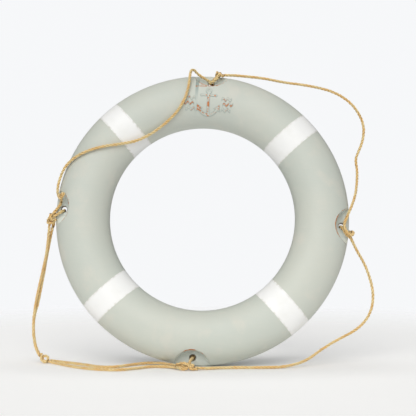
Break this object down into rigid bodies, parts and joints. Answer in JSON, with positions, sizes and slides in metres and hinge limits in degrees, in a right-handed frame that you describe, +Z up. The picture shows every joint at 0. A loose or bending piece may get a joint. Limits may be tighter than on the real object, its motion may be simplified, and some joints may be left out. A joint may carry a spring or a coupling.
{
  "type": "ring lifebuoy",
  "caption": "Ring lifebuoy with a painted moulded shell, white bands, half-moon rim pockets with line holes, and a loose knotted grab line, leaning back on its rim.",
  "frame": {"origin": "on the floor, at the centre of the ring's footprint, under the lowest point of the rim", "axes": "+Z up; the ring's front face looks along -Y and leans back, so its top is towards +Y; +X to the right as seen from the front"},
  "size_m": [0.843, 0.2563, 0.7272],
  "materials": {
    "shell_paint": "eggshell grey-green paint over orange moulded polyethylene, worn through at raised edges",
    "band_white": "satin white",
    "foam": "closed-cell foam",
    "plug_plastic": "moulded plug, painted with the shell",
    "rope": "three-strand jute, dry and hairy"
  },
  "bodies": {
    "root": {"ring_shell": "shell_paint", "foam_core": "foam", "fill_plug": "plug_plastic", "vent_plug": "plug_plastic", "band_upper_right": "band_white", "band_upper_left": "band_white", "band_lower_left": "band_white", "band_lower_right": "band_white", "line_upper_left": "rope", "line_upper_right": "rope", "line_lower_right": "rope", "line_floor_back": "rope", "line_floor_front": "rope", "line_left_outer": "rope", "line_left_inner": "rope", "loop_left": "rope", "loop_right": "rope", "loop_top": "rope", "strand_bottom": "rope", "knot_top": "rope", "knot_right": "rope", "knot_bottom": "rope", "knot_lower_left": "rope", "knot_left": "rope", "knot_at_left_edge": "rope", "knot_behind_web": "rope"}
  },
  "joints": []
}
